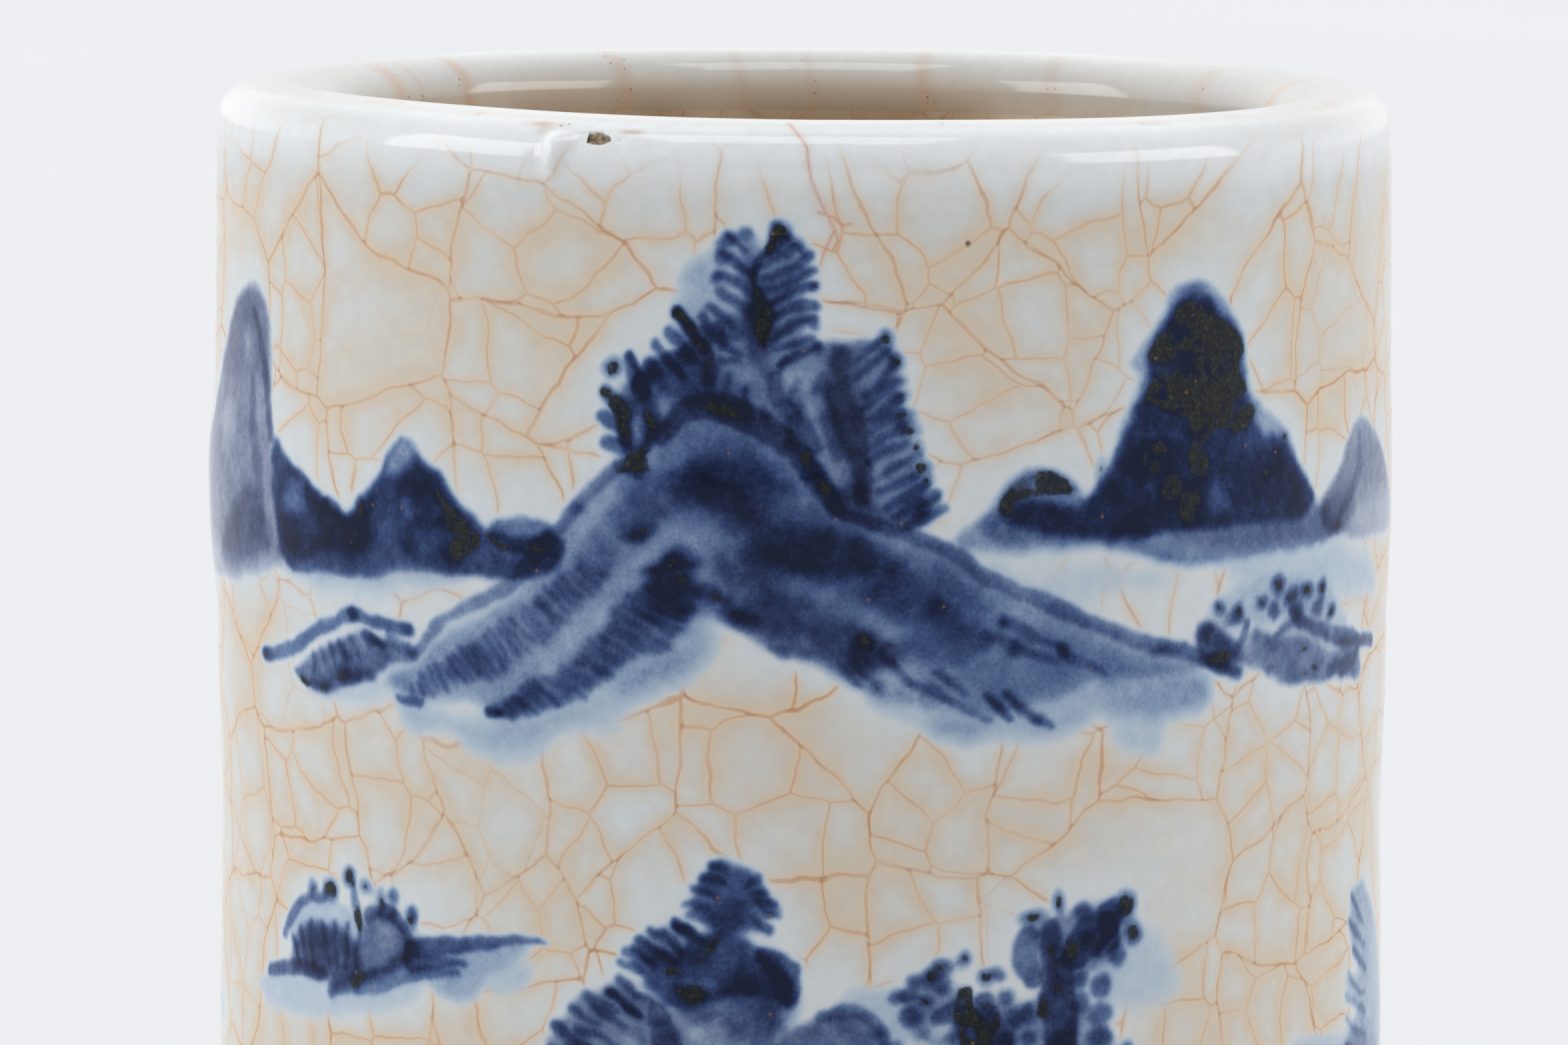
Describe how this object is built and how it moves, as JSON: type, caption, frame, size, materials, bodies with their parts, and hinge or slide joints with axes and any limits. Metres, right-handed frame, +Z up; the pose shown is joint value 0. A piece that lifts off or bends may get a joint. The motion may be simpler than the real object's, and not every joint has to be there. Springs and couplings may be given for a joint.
{
  "type": "brush holder pot",
  "caption": "Straight-sided porcelain pot for standing writing brushes in, with a crackled glaze painted in blue and a thick rounded lip.",
  "frame": {"origin": "centre of the foot, on the plane the pot rests on", "axes": "+Z up along the pot's axis, -Y the painted front with the chip and the bead of glaze on the lip, +X to the right of that front"},
  "size_m": [0.1014, 0.1014, 0.125],
  "materials": {
    "porcelain_clay": "matte",
    "porcelain_clay_foot": "matte",
    "coil_clay": "matte",
    "painted_crackle_glaze": "gloss",
    "lip_glaze": "gloss",
    "bead_glaze": "gloss",
    "inner_glaze": "gloss",
    "under_glaze": "gloss"
  },
  "bodies": {
    "root": {"wall_body": "porcelain_clay", "base_slab": "porcelain_clay_foot", "luting_coil": "coil_clay", "outer_glaze": "painted_crackle_glaze", "lip_glaze": "lip_glaze", "glaze_bead": "bead_glaze", "inner_glaze": "inner_glaze", "base_glaze": "under_glaze"}
  },
  "joints": []
}
